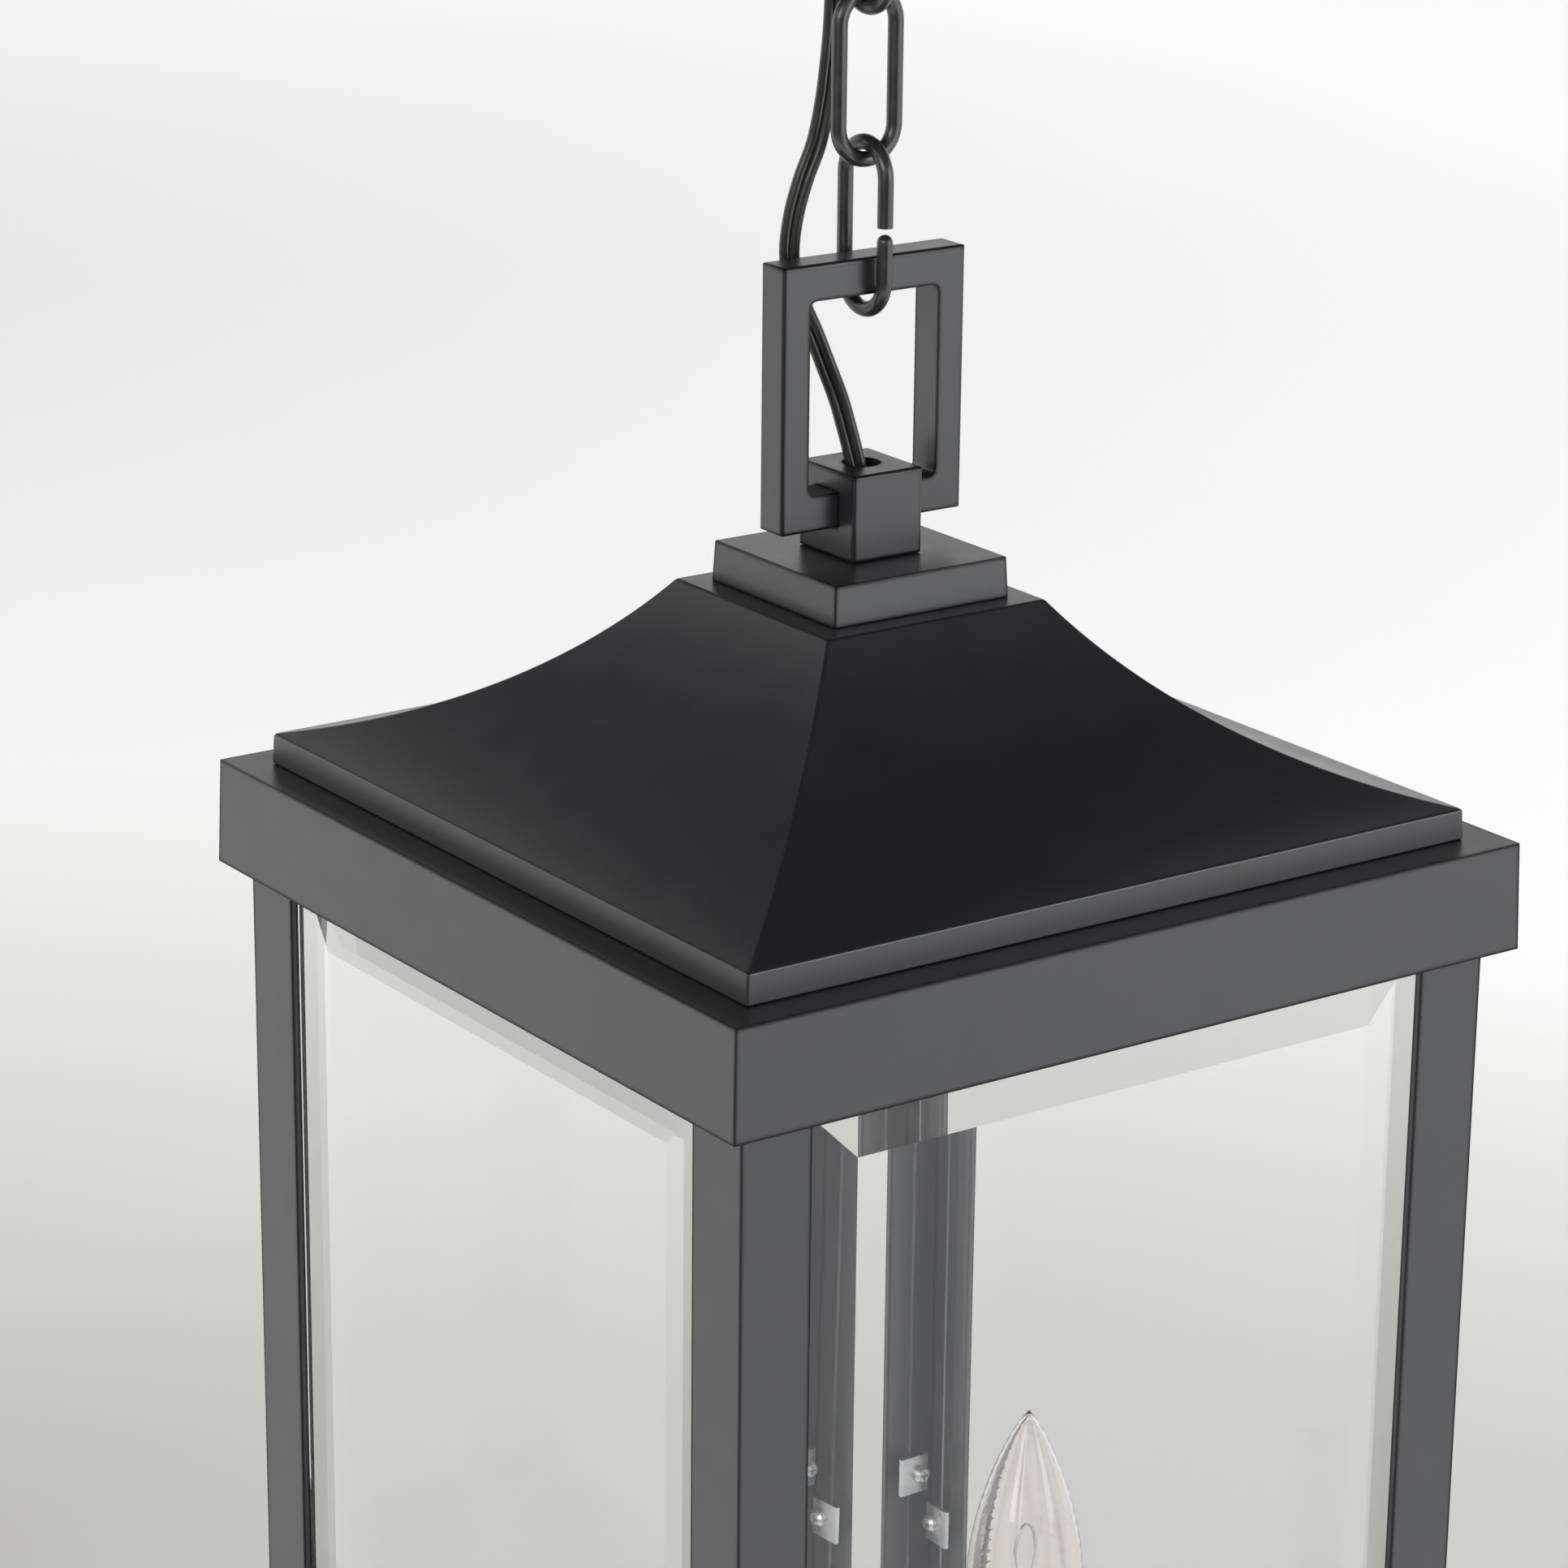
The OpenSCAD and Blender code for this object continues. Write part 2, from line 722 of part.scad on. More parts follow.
module roof_shell() {
    color(finish)
        translate([0, 0, collar_z])
            difference() {
                union() {
                    difference() {
                        roof_solid(0);
                        roof_solid(roof_wall);
                        square_block(roof_half + band_draft - roof_wall, -1, 1);
                    }
                    intersection() {
                        roof_solid(0);
                        on_each_side()
                            translate([roof_screw_at, 0, 0])
                                cylinder(d = roof_boss_d, h = roof_rise);
                    }
                }
                translate([0, 0, roof_rise - roof_wall])
                    cylinder(d = pipe_d + slip, h = band_h + roof_wall + 2);
                on_each_side()
                    translate([roof_screw_at, 0, -1])
                        cylinder(d = screw_d, h = 7);
            }
}

module roof_screws() {
    color(zinc)
        on_each_side()
            translate([roof_screw_at, 0, collar_z - casting_wall])
                rotate([180, 0, 0])
                    pan_screw(casting_wall + 5.5);
}

// ---- Collar, posts and base ---------------------------------------------------------------------
// Bosses on the inside of a casting that each take one post screw
module post_bosses(z) {
    at_each_post_screw(casting_inner + 1, [z])
        cylinder(d = boss_d, h = casting_inner + 1 - post_half - post_fit);
}

module collar_frame() {
    color(finish)
        difference() {
            union() {
                difference() {
                    translate([0, 0, cage_top_z])
                        drafted_block(collar_half, collar_top_half, collar_h);
                    square_block(casting_inner, cage_top_z + lip_h, collar_z - casting_wall);
                    square_block(post_half + post_fit, cage_top_z - 1, cage_top_z + lip_h + 1);
                    square_block(ledge_half, collar_z - casting_wall - 1, collar_z + 1);
                }
                post_bosses(post_screw_top);
            }
            at_each_post_screw(post_half + boss_thread, [post_screw_top])
                cylinder(d = screw_d, h = boss_thread + 1);
            on_each_side()
                translate([roof_screw_at, 0, collar_z - casting_wall - 1])
                    cylinder(d = screw_d, h = casting_wall + 2);
        }
}

// An angle post at the rear right corner, turned to another corner, with its screw holes
module corner_post(turn) {
    color(finish)
        difference() {
            rotate([0, 0, turn])
                translate([0, 0, floor_top_z])
                    difference() {
                        translate([post_half - post_flange, post_half - post_flange, 0])
                            cube([post_flange, post_flange, post_length]);
                        translate([0, 0, -1])
                            cube([post_inner, post_inner, post_length + 2]);
                    }
            at_each_post_screw(post_half + 1, [post_screw_top, post_screw_foot])
                cylinder(d = screw_d, h = post_wall + 2);
            at_each_clip(post_inner + clip_thread)
                cylinder(d = screw_d, h = clip_thread + 1);
        }
}

module post_rear_right() {
    corner_post(0);
}

module post_rear_left() {
    corner_post(90);
}

module post_front_left() {
    corner_post(180);
}

module post_front_right() {
    corner_post(270);
}

module post_screws() {
    color(zinc)
        at_each_post_screw(post_inner, [post_screw_top, post_screw_foot])
            pan_screw(post_wall + boss_thread);
}

module base_frame() {
    color(finish)
        difference() {
            union() {
                difference() {
                    translate([0, 0, base_floor_z])
                        drafted_block(collar_top_half, collar_half, base_h);
                    square_block(casting_inner, floor_top_z, base_z - lip_h);
                    square_block(post_half + post_fit, base_z - lip_h - 1, base_z + 1);
                }
                translate([0, 0, foot_z])
                    drafted_block(roof_half, roof_half + band_draft, foot_h + 1);
                post_bosses(post_screw_foot);
            }
            square_block(roof_half - casting_wall, foot_z - 1, base_floor_z);
            square_block(floor_half, foot_z - 1, floor_top_z + 1);
            at_each_post_screw(post_half + boss_thread, [post_screw_foot])
                cylinder(d = screw_d, h = boss_thread + 1);
            for (side = [-1, 1])
                translate([side * bar_screw_x, 0, base_floor_z - 1])
                    cylinder(d = screw_d, h = casting_wall + 2);
        }
}

// ---- Glass --------------------------------------------------------------------------------------
// The front pane, bevelled on its outer face along all four edges
module bevelled_pane() {
    rise = glass_t - bevel_edge_t;
    plan = [
        [-glass_half, -glass_outer + rise], [-glass_half, -glass_inner],
        [glass_half, -glass_inner], [glass_half, -glass_outer + rise],
        [glass_half - bevel_w, -glass_outer], [-glass_half + bevel_w, -glass_outer]
    ];
    section = [
        [-glass_outer + rise, 0], [-glass_inner, 0], [-glass_inner, glass_h],
        [-glass_outer + rise, glass_h], [-glass_outer, glass_h - bevel_w], [-glass_outer, bevel_w]
    ];
    translate([0, 0, glass_foot_z])
        intersection() {
            linear_extrude(glass_h)
                polygon(plan);
            translate([-glass_half - 1, 0, 0])
                rotate([90, 0, 90])
                    linear_extrude(2 * glass_half + 2)
                        polygon(section);
        }
}

module pane_front() {
    color(glass_tint)
        bevelled_pane();
}

module pane_right() {
    color(glass_tint)
        rotate([0, 0, 90])
            bevelled_pane();
}

module pane_rear() {
    color(glass_tint)
        rotate([0, 0, 180])
            bevelled_pane();
}

module pane_left() {
    color(glass_tint)
        rotate([0, 0, 270])
            bevelled_pane();
}

// Each clip is a tab on a spacer beside the pane; its screw goes into the post's flange
module pane_clips() {
    reach = 7;
    spacer_h = post_inner - glass_inner;
    color(zinc)
        at_each_clip(post_inner)
            difference() {
                union() {
                    cylinder(d = screw_head_d, h = spacer_h);
                    translate([-reach, -clip_h / 2, spacer_h])
                        cube([reach + screw_head_d / 2, clip_h, clip_t]);
                }
                translate([0, 0, -1])
                    cylinder(d = screw_d + slip, h = spacer_h + clip_t + 2);
            }
}

module clip_screws() {
    color(zinc)
        at_each_clip(glass_inner - clip_t)
            pan_screw(post_inner - glass_inner + clip_t + clip_thread);
}

module pane_pads() {
    pad_w = 14;
    color(rubber_black)
        on_each_side()
            for (side = [-1, 1])
                translate([side * 60 - pad_w / 2, -glass_outer, floor_top_z])
                    cube([pad_w, glass_t, pad_h]);
}

// ---- Cluster ------------------------------------------------------------------------------------
module cluster_bar() {
    color(finish)
        difference() {
            translate([-bar_half, -bar_w / 2, floor_top_z])
                cube([2 * bar_half, bar_w, bar_t]);
            translate([0, 0, floor_top_z - 1])
                cylinder(d = pipe_d + slip, h = bar_t + 2);
            for (side = [-1, 1])
                translate([side * bar_screw_x, 0, floor_top_z - 1])
                    cylinder(d = screw_d, h = bar_t + 2);
        }
}

module bar_screws() {
    color(zinc)
        for (side = [-1, 1])
            translate([side * bar_screw_x, 0, bar_top_z])
                pan_screw(bar_t + casting_wall);
}

module at_each_candle() {
    for (k = [0:candle_count - 1])
        rotate([0, 0, 90 + k * 360 / candle_count])
            children();
}

module cluster_body() {
    color(finish)
        translate([0, 0, bar_top_z])
            difference() {
                cylinder(d = body_d, h = body_h);
                translate([0, 0, body_wall])
                    cylinder(d = body_d - 2 * body_wall, h = body_h);
                translate([0, 0, -1])
                    cylinder(d = pipe_d + slip, h = body_h);
                at_each_candle()
                    translate([0, 0, body_h / 2])
                        rotate([0, 90, 0])
                            cylinder(d = arm_d, h = body_d);
                translate([0, 0, cord_entry_z - bar_top_z])
                    rotate([0, -90, 0])
                        cylinder(d = cord_d + 0.8, h = body_d);
            }
}

cord_entry_z = cage_route[len(cage_route) - 1][2];
cover_h = 7;
cover_z = bar_top_z + body_h;

module cluster_cover() {
    color(finish)
        translate([0, 0, cover_z])
            difference() {
                union() {
                    cylinder(d = body_d + 2, h = 2);
                    translate([0, 0, 2])
                        cylinder(d1 = body_d - 4, d2 = 20, h = cover_h - 2);
                }
                translate([0, 0, -1])
                    cylinder(d = pipe_d + slip, h = cover_h + 2);
            }
}

cluster_pipe_foot = foot_z - 2;
cluster_nut_h = 6;
cluster_pipe_top = cover_z + cover_h + cluster_nut_h - 1;

module cluster_pipe() {
    color(zinc)
        translate([0, 0, cluster_pipe_foot])
            tube(pipe_d, pipe_bore, cluster_pipe_top - cluster_pipe_foot);
}

module cluster_nut() {
    color(finish)
        translate([0, 0, cover_z + cover_h])
            difference() {
                union() {
                    cylinder(d = 15, h = cluster_nut_h - 1);
                    translate([0, 0, cluster_nut_h - 1])
                        cylinder(d1 = 15, d2 = 8, h = 4);
                }
                translate([0, 0, -1])
                    cylinder(d = pipe_d + slip, h = cluster_nut_h);
            }
}

finial_h = floor_top_z - foot_z + 12;

// A square-shouldered finial, threaded on the pipe under the bar
module finial() {
    color(finish)
        translate([0, 0, floor_top_z - finial_h])
            difference() {
                union() {
                    cylinder(d1 = 8, d2 = 14, h = 5);
                    translate([0, 0, 5])
                        cylinder(d = 14, h = finial_h - 9);
                    translate([0, 0, finial_h - 4])
                        cylinder(d = 26, h = 4);
                }
                translate([0, 0, cluster_pipe_foot - floor_top_z + finial_h])
                    cylinder(d = pipe_d + slip, h = finial_h);
            }
}

// The arm's centreline, level from the body and then turned up under the candle
module arm_sweep(d) {
    start = body_d / 2 - 3;
    level = candle_radius - arm_bend_r - start;
    translate([start, 0, 0])
        rotate([0, 90, 0])
            cylinder(d = d, h = level);
    translate([candle_radius - arm_bend_r, 0, arm_bend_r])
        rotate([90, 0, 0])
            rotate([0, 0, -90])
                rotate_extrude(angle = 90)
                    translate([arm_bend_r, 0])
                        circle(d = d);
    translate([candle_radius, 0, arm_bend_r])
        cylinder(d = d, h = arm_top_z - arm_z - arm_bend_r);
}

module candle_arms() {
    color(finish)
        translate([0, 0, arm_z])
            at_each_candle()
                difference() {
                    arm_sweep(arm_d);
                    arm_sweep(arm_bore);
                }
}

module socket_leads() {
    color(cord_black)
        translate([0, 0, arm_z])
            at_each_candle()
                arm_sweep(lead_d);
}

module candle_cups() {
    color(finish)
        at_each_candle()
            translate([candle_radius, 0, arm_top_z])
                difference() {
                    cylinder(d1 = sleeve_d + 4, d2 = cup_d, h = cup_h);
                    translate([0, 0, cup_floor])
                        cylinder(d1 = sleeve_d + 2 * slip, d2 = cup_d - 2.5, h = cup_h);
                    translate([0, 0, -1])
                        cylinder(d = arm_bore, h = cup_h);
                }
}

module lampholders() {
    color("#232323")
        at_each_candle()
            translate([candle_radius, 0, cup_floor_z])
                difference() {
                    union() {
                        cylinder(d = pipe_d, h = sleeve_h - holder_h + 1);
                        translate([0, 0, sleeve_h - holder_h])
                            cylinder(d = holder_d, h = holder_h);
                    }
                    translate([0, 0, sleeve_h - holder_bore_h])
                        cylinder(d = holder_bore_d, h = holder_bore_h + 1);
                    translate([0, 0, -1])
                        cylinder(d = 5, h = sleeve_h - holder_h);
                }
}

module candle_sleeve(k) {
    color(candle_white)
        rotate([0, 0, 90 + k * 360 / candle_count])
            translate([candle_radius, 0, cup_floor_z])
                tube(sleeve_d, sleeve_d - 2 * sleeve_wall, sleeve_h);
}

module candle_sleeve_1() {
    candle_sleeve(0);
}

module candle_sleeve_2() {
    candle_sleeve(1);
}

module candle_sleeve_3() {
    candle_sleeve(2);
}

// Radius of a bulb's glass at height t, from 0 at the neck to 1 at the tip
function bulb_radius(t, r) =
    t < 0.36
        ? 5.6 + (r - 5.6) * (1 - cos(180 * t / 0.36)) / 2
        : r * pow(cos(90 * (t - 0.36) / 0.64), 0.8);

// A bulb's glass outside, or with an inset its hollow, from height `foot` up
module bulb_solid(inset, foot) {
    steps = 24;
    r = bulb_d / 2 - inset;
    side = [for (k = [0:steps - 1])
        let (t = k / steps)
        [bulb_radius(t, r) - (t < 0.1 ? inset : 0), t * (bulb_h - inset)]];
    rotate_extrude()
        polygon(concat([[0, foot], [side[0][0], foot]], side, [[0, bulb_h - inset]]));
}

module bulb(k) {
    color([0.95, 0.93, 0.85, 0.4])
        rotate([0, 0, 90 + k * 360 / candle_count])
            translate([candle_radius, 0, sleeve_top_z + 1])
                difference() {
                    bulb_solid(0, 0);
                    bulb_solid(bulb_wall, -1);
                }
}

module bulb_1() {
    bulb(0);
}

module bulb_2() {
    bulb(1);
}

module bulb_3() {
    bulb(2);
}

module bulb_shells() {
    color(brass)
        at_each_candle()
            translate([candle_radius, 0, sleeve_top_z + 1 - shell_h])
                cylinder(d = shell_d, h = shell_h);
}

// ---- Cord ---------------------------------------------------------------------------------------
module cord_lower() {
    color(cord_black)
        cord_tube(chain_route, chain_shares[0], chain_shares[1]);
}

module cord_middle() {
    color(cord_black)
        cord_tube(chain_route, chain_shares[1], chain_shares[2]);
}

module cord_upper() {
    color(cord_black)
        cord_tube(chain_route, chain_shares[2], chain_shares[3]);
}

module cord_canopy() {
    color(cord_black)
        cord_tube(chain_route, chain_shares[3], chain_shares[4]);
}

module cord_cage() {
    color(cord_black)
        cord_tube(cage_route, 0, len(cage_route) - 1);
}

cord_corner = -cage_route[20][0];

// Saddles that hold the cord in the front left corner post
module cord_clips() {
    saddle_h = 8;
    wall = post_inner - cord_corner;
    color(rubber_black)
        for (share = [0.25, 0.42, 0.7])
            rotate([0, 0, 180])
                translate([cord_corner, cord_corner, cage_top_z - share * cage_clear_h])
                    difference() {
                        cylinder(d = cord_d + 4, h = saddle_h);
                        translate([0, 0, -1])
                            cylinder(d = cord_d + 0.2, h = saddle_h + 2);
                        translate([0, 0, -1])
                            cube([10, 10, saddle_h + 2]);
                        translate([wall, -10, -1])
                            cube([10, 20, saddle_h + 2]);
                        translate([-10, wall, -1])
                            cube([20, 10, saddle_h + 2]);
                    }
}

canopy();
canopy_crossbar();
canopy_pipe();
canopy_locknut();
canopy_ring_nut();
canopy_loop();
ground_screw();
supply_leads();
wire_connectors();
chain_link_upper();
chain_link_middle();
chain_link_lower();
hanging_loop();
hanger_block();
hanger_pipe();
hanger_washer();
hanger_locknut();
cap_block();
roof_shell();
roof_screws();
collar_frame();
post_front_left();
post_front_right();
post_rear_left();
post_rear_right();
post_screws();
pane_front();
pane_rear();
pane_left();
pane_right();
pane_clips();
clip_screws();
pane_pads();
base_frame();
cluster_bar();
bar_screws();
cluster_body();
cluster_cover();
cluster_pipe();
cluster_nut();
finial();
candle_arms();
socket_leads();
candle_cups();
lampholders();
candle_sleeve_1();
candle_sleeve_2();
candle_sleeve_3();
bulb_1();
bulb_2();
bulb_3();
bulb_shells();
cord_canopy();
cord_upper();
cord_middle();
cord_lower();
cord_cage();
cord_clips();
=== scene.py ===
import math

import bmesh
import bpy
from mathutils import Matrix, Vector


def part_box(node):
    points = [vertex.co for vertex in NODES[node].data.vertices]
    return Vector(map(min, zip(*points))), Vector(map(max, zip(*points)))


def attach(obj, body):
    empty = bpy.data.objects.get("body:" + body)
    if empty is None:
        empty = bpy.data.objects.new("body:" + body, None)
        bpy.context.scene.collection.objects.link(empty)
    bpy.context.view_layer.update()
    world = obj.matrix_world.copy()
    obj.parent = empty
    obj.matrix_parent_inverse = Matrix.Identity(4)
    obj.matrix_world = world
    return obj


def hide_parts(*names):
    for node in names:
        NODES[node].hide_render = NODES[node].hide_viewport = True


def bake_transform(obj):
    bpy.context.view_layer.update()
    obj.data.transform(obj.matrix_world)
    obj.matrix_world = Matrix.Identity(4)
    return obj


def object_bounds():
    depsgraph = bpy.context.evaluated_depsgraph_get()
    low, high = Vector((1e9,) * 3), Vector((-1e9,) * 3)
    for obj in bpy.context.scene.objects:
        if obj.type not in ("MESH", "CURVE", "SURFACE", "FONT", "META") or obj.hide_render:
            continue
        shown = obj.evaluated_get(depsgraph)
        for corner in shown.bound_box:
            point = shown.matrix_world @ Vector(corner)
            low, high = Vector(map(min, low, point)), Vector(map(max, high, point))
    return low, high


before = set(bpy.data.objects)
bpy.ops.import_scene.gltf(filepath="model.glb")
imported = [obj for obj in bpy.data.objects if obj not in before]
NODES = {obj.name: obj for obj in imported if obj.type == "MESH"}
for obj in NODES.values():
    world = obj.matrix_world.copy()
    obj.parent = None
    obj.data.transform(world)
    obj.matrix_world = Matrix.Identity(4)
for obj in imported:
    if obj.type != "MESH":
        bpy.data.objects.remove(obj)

# The looks of a square hanging lantern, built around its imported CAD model: camera, cord, finishes,
# edge rounding, bulbs' inner parts, floor and light. Metres, +Z up; the lantern's front faces -Y.

cad_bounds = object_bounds()


# ---- Camera -------------------------------------------------------------------------------------
AZIMUTH = math.radians(-35.18)        # the camera stands to the left of the front
ELEVATION = math.radians(17.99)
ROLL = math.radians(0.61)
DISTANCE = 1.288                      # from the point the camera aims at
AIM_ASIDE = -0.01863                  # that point's distance to the right of the lantern's axis
AIM_ABOVE = 0.00423                   # and above the collar's top
LENS_MM = 114.87


def add_camera():
    back = Vector((
        math.sin(AZIMUTH) * math.cos(ELEVATION),
        -math.cos(AZIMUTH) * math.cos(ELEVATION),
        math.sin(ELEVATION),
    ))
    level_right = Vector((math.cos(AZIMUTH), math.sin(AZIMUTH), 0))
    level_up = back.cross(level_right)
    right = level_right * math.cos(ROLL) + level_up * math.sin(ROLL)
    up = level_up * math.cos(ROLL) - level_right * math.sin(ROLL)
    aim = level_right * AIM_ASIDE + Vector((0, 0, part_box("collar_frame")[1].z + AIM_ABOVE))
    data = bpy.data.cameras.new("camera")
    data.lens = LENS_MM
    data.sensor_width = 36
    data.clip_end = 100
    camera = bpy.data.objects.new("camera", data)
    bpy.context.scene.collection.objects.link(camera)
    turned = Matrix((right, up, back)).transposed().to_4x4()
    camera.matrix_world = Matrix.Translation(aim + back * DISTANCE) @ turned
    bpy.context.scene.camera = camera


add_camera()


# ---- Cord ---------------------------------------------------------------------------------------
CORD_WIDTH = 0.0052
LOBE_R = 0.00135                      # radius of each of the flat cord's two conductors
STEPS = 5                             # rings between two points of a route

# The same points as the part's own route, in millimetres, from the hanger block to the canopy
CHAIN_ROUTE = [
    (-0.8, 0.5, -223), (-0.8, 0.5, -221), (-1.5, 1.2, -217), (-2.4, 2.7, -211),
    (-3.5, 5.3, -203), (-5.3, 8.2, -195), (-8.4, 9.8, -186), (-12.6, 10.2, -177),
    (-15.6, 10.2, -167), (-15.1, 9.8, -157), (-12.5, 9.2, -147), (-9, 8.6, -138),
    (-7, 8, -128), (-6, 7.4, -118), (-5.5, 6.8, -108),
    (-5.5, 6.4, -98), (-5.6, 6.2, -88), (-5.8, 6.2, -78), (-5.8, 6.3, -70), (-5.4, 6.1, -62),
    (-4, 4.5, -54), (-2, 2.3, -47), (-0.5, 0.6, -40), (0, 0, -33), (0, 0, -20), (0, 0, -10),
]
# The stretches of that route and the two bodies that each one hangs between
CHAIN_CORDS = [
    ("cord_lower", 0, 9, "lantern", "link_lower"),
    ("cord_middle", 9, 13, "link_lower", "link_middle"),
    ("cord_upper", 13, 17, "link_middle", "link_upper"),
    ("cord_canopy", 17, 25, "link_upper", "ceiling"),
]
# Inside the cage, laid out towards the rear right corner and turned to the front left
CAGE_ROUTE = (
    [(0.8, -0.5, -223), (0.8, -0.5, -226), (0, 0, -240), (0, 0, -252), (0, 0, -264),
     (1, 1, -274), (5, 5, -286), (13, 13, -296), (24, 24, -303), (37, 37, -307),
     (50, 50, -309), (63, 63, -311), (76, 76, -314), (87, 87, -319), (97, 97, -328),
     (104, 104, -339), (108, 108, -352)]
    + [(109, 109, z) for z in range(-366, -622, -15)]
    + [(108.5, 108.5, -634), (107, 107, -646), (104, 103, -658), (103, 95, -667),
       (103, 83, -673), (103, 70, -675), (103, 56, -675), (102, 42, -675), (99, 29, -673),
       (92, 17, -671.5), (81, 8, -671.2), (68, 3, -671.2), (54, 0, -671.4), (41, 0, -671.7),
       (28, 0, -672), (20, 0, -672)]
)
CORD_BROAD_SIDE = Vector((math.cos(AZIMUTH), math.sin(AZIMUTH), 0))


def smooth_line(points):
    """A Catmull-Rom line through the points, with STEPS stations from each to the next."""
    padded = [points[0] * 2 - points[1]] + points + [points[-1] * 2 - points[-2]]
    line = []
    for a, b, c, d in zip(padded, padded[1:], padded[2:], padded[3:]):
        for k in range(STEPS):
            t = k / STEPS
            line.append(
                (2 * b + (c - a) * t + (2 * a - 5 * b + 4 * c - d) * t**2
                 + (3 * b - a - 3 * c + d) * t**3) / 2
            )
    return line + [points[-1]]


def stations(line, side):
    """Each point of a line with two directions square to the line, the first towards `side`."""
    for i, point in enumerate(line):
        along = (line[min(i + 1, len(line) - 1)] - line[max(i - 1, 0)]).normalized()
        across = (side - along * side.dot(along)).normalized()
        yield point, across, along.cross(across)


def cord_section(detail=9):
    """The outline of a flat two-conductor cord, as (along its width, across its thickness)."""
    centre = CORD_WIDTH / 2 - LOBE_R
    reach = math.acos(-centre / LOBE_R)
    half = [
        (centre + LOBE_R * math.cos(a), LOBE_R * math.sin(a))
        for a in (reach * (2 * k / (detail - 1) - 1) for k in range(detail))
    ]
    return half + [(-x, -y) for x, y in half]


def cord_rings(line):
    section = cord_section()
    return [
        [point + across * x + other * y for x, y in section]
        for point, across, other in stations(line, CORD_BROAD_SIDE)
    ]


def tube_mesh(name, rings):
    """A smooth tube through the rings, as a new object with a flat cap of its own at each end."""
    bm = bmesh.new()
    rows = [[bm.verts.new(p) for p in ring] for ring in rings]
    count = len(rows[0])
    for low, high in zip(rows, rows[1:]):
        for k in range(count):
            bm.faces.new((low[k], low[(k + 1) % count], high[(k + 1) % count], high[k]))
    for face in bm.faces:
        face.smooth = True
    bmesh.ops.recalc_face_normals(bm, faces=bm.faces)
    for end in (list(reversed(rings[0])), rings[-1]):
        bm.faces.new([bm.verts.new(p) for p in end])
    return mesh_object(name, bm)


def mesh_object(name, bm):
    mesh = bpy.data.meshes.new(name)
    bm.to_mesh(mesh)
    bm.free()
    obj = bpy.data.objects.new(name, mesh)
    bpy.context.scene.collection.objects.link(obj)
    return obj


def metres(route):
    return [Vector(p) / 1000 for p in route]


def add_chain_cords():
    line = smooth_line(metres(CHAIN_ROUTE))
    rings = cord_rings(line)
    made = []
    for node, first, last, low_body, high_body in CHAIN_CORDS:
        share = slice(first * STEPS, last * STEPS + 1)
        piece = tube_mesh(node + "_sheath", rings[share])
        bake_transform(piece)
        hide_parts(node)
        made.append(piece)
    return made


def add_cage_cord():
    turned = [Vector((-p.x, -p.y, p.z)) for p in metres(CAGE_ROUTE)]
    piece = tube_mesh("cord_cage_sheath", cord_rings(smooth_line(turned)))
    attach(piece, "lantern")
    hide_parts("cord_cage")
    return piece


cords = add_chain_cords() + [add_cage_cord()]


# ---- Finishes -----------------------------------------------------------------------------------
NOISE_RANGE = (0.3, 0.7)              # where nearly all of the noise lies
EDGE_SHADE_BAND = 0.0017                    # how far the painted shade lines along the coat's edges reach
# How well the rounded and the flat normal agree where a painted shade line starts, and where it is
# full
EDGE_SHADE_AGREE = (0.99, 0.955)
# Colour and shine of the painted shade lines along the edges
EDGE_SHADE_COLOUR = (0.001, 0.001, 0.0012)
EDGE_SHADE_SHINE = 0.05
FAR_PANES_IOR = 1.2


